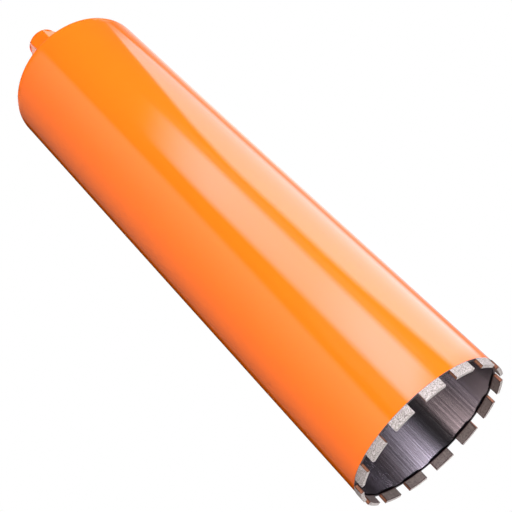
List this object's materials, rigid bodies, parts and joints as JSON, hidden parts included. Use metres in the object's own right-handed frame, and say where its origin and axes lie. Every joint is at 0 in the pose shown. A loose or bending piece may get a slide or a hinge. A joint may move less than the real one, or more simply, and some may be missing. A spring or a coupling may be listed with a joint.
{
  "type": "diamond core bit",
  "caption": "Thin-walled steel core bit with a crown of diamond segments on its open end and a closed back with a threaded hexagonal hub.",
  "frame": {"origin": "centre of the cutting face, the plane that the segments' free ends lie in", "axes": "+Z along the axis, from the cutting face to the hub; +X through the middle of segment_01"},
  "size_m": [0.1268, 0.127, 0.528],
  "materials": {
    "enamelled_steel": "gloss orange paint outside, bare drawn steel inside",
    "diamond_matrix": "ground sintered metal with embedded grit"
  },
  "bodies": {
    "root": {"barrel": "enamelled_steel", "back_plate": "enamelled_steel", "seam_weld": "enamelled_steel", "hub": "enamelled_steel", "hub_weld": "enamelled_steel", "segment_01": "diamond_matrix", "segment_02": "diamond_matrix", "segment_03": "diamond_matrix", "segment_04": "diamond_matrix", "segment_05": "diamond_matrix", "segment_06": "diamond_matrix", "segment_07": "diamond_matrix", "segment_08": "diamond_matrix", "segment_09": "diamond_matrix", "segment_10": "diamond_matrix", "segment_11": "diamond_matrix", "segment_12": "diamond_matrix", "segment_13": "diamond_matrix", "segment_14": "diamond_matrix", "segment_15": "diamond_matrix"}
  },
  "joints": []
}
